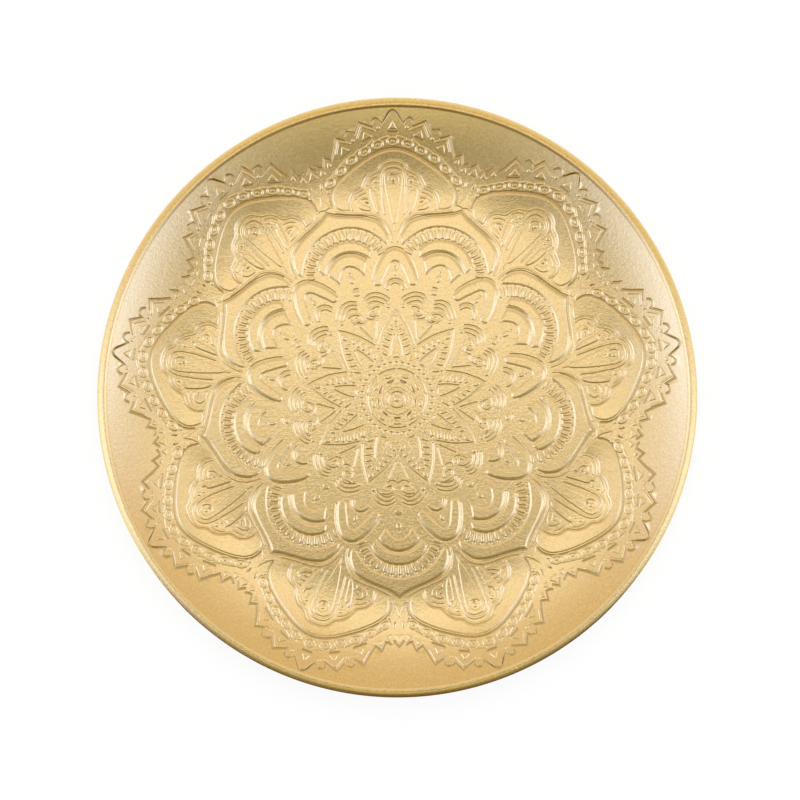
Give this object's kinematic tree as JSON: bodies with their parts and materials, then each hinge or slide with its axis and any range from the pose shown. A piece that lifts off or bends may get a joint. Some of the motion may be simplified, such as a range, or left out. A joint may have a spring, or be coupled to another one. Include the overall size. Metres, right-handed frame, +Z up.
{
  "type": "decorative tray",
  "caption": "Round shallow cast metal tray with a raised mandala over its face, a crested rim with a rounded edge, and soft stick-on pads underneath, for standing candles on.",
  "frame": {"origin": "centre of the tray, at the level of the pad undersides", "axes": "+Z up along the tray's axis, +Y towards the tooth of the mandala that is at the top of the picture"},
  "size_m": [0.3, 0.3, 0.0154],
  "materials": {
    "gold_metal": "satin gold lacquer over cast metal",
    "pad_felt": "matte felt",
    "adhesive_film": "satin"
  },
  "bodies": {
    "root": {"tray_dish": "gold_metal", "foot_pad_front_left": "pad_felt", "foot_pad_front_right": "pad_felt", "foot_pad_back_left": "pad_felt", "foot_pad_back_right": "pad_felt", "pad_film_front_left": "adhesive_film", "pad_film_front_right": "adhesive_film", "pad_film_back_left": "adhesive_film", "pad_film_back_right": "adhesive_film"}
  },
  "joints": []
}
